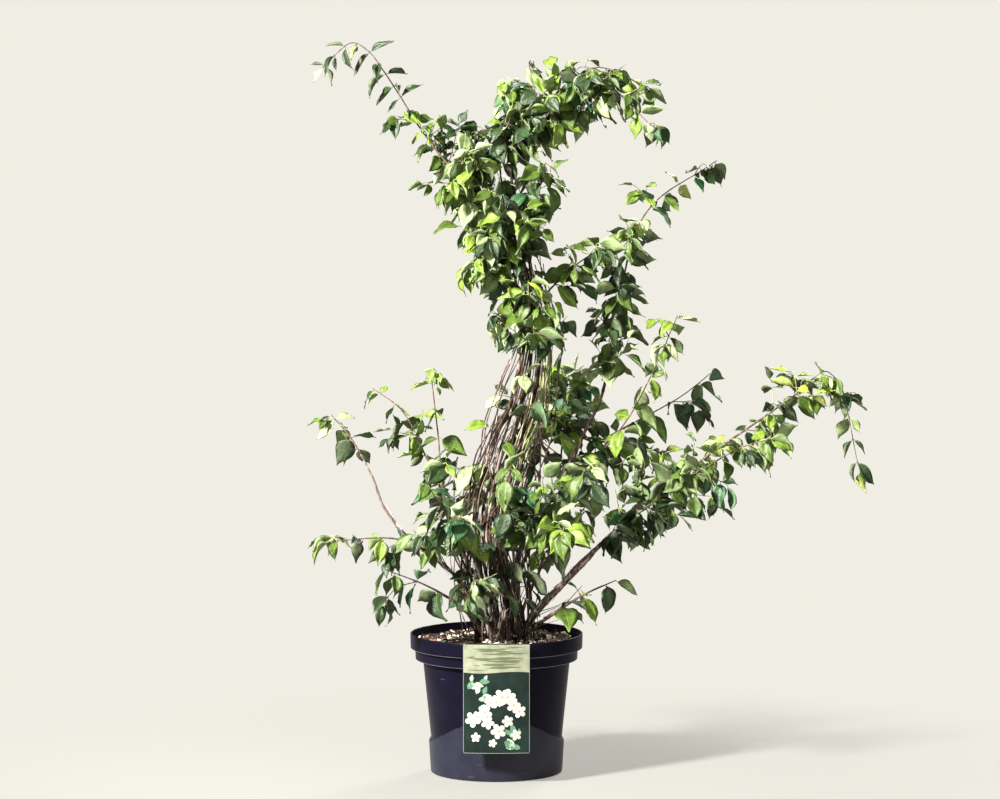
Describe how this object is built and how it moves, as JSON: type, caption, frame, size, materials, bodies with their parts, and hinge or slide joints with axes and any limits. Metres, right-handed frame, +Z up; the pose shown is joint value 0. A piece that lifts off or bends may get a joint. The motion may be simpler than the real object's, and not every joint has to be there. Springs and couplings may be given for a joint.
{
  "type": "beautybush in nursery pot",
  "caption": "Multi-stemmed flowering shrub in leaf, its thin canes rising from one bundle into arching leafy shoots, in a round nursery pot with a picture card.",
  "frame": {"origin": "centre of the pot's flat underside, on the surface that it stands on", "axes": "+Z up along the canes, -Y towards the side that carries the picture card, +X to the right of a viewer who faces the card"},
  "size_m": [0.9211, 0.5111, 1.1761],
  "materials": {
    "pot": "satin",
    "soil": "matte",
    "card": "satin",
    "bark": "matte",
    "foliage": "satin"
  },
  "bodies": {
    "root": {"pot": "pot", "soil": "soil", "card": "card", "cane_back_arch": "bark", "cane_back_low": "bark", "cane_crest": "bark", "cane_far_right": "bark", "cane_front_arch": "bark", "cane_left_back": "bark", "cane_left_far": "bark", "cane_left_front": "bark", "cane_left_low": "bark", "cane_left_low_front": "bark", "cane_left_up": "bark", "cane_low_back": "bark", "cane_low_front": "bark", "cane_middle_back": "bark", "cane_middle_front": "bark", "cane_right_arch": "bark", "cane_right_front": "bark", "cane_right_low": "bark", "cane_right_low_back": "bark", "cane_right_middle": "bark", "cane_right_upper": "bark", "cane_top_left": "bark", "cane_top_right": "bark", "foliage_back_arch": "foliage", "foliage_back_low": "foliage", "foliage_crest": "foliage", "foliage_crest_right": "foliage", "foliage_far_right": "foliage", "foliage_far_right_tip": "foliage", "foliage_front_arch": "foliage", "foliage_high_left": "foliage", "foliage_high_right": "foliage", "foliage_left_back": "foliage", "foliage_left_far": "foliage", "foliage_left_front": "foliage", "foliage_left_low": "foliage", "foliage_left_low_front": "foliage", "foliage_left_up": "foliage", "foliage_left_upright": "foliage", "foliage_low_back": "foliage", "foliage_low_front": "foliage", "foliage_low_left": "foliage", "foliage_low_right": "foliage", "foliage_middle_back": "foliage", "foliage_middle_front": "foliage", "foliage_middle_left": "foliage", "foliage_right_arch": "foliage", "foliage_right_drooping": "foliage", "foliage_right_front": "foliage", "foliage_right_high": "foliage", "foliage_right_low": "foliage", "foliage_right_low_back": "foliage", "foliage_right_middle": "foliage", "foliage_right_thin": "foliage", "foliage_right_upper": "foliage", "foliage_top_left": "foliage", "foliage_top_right": "foliage"}
  },
  "joints": []
}
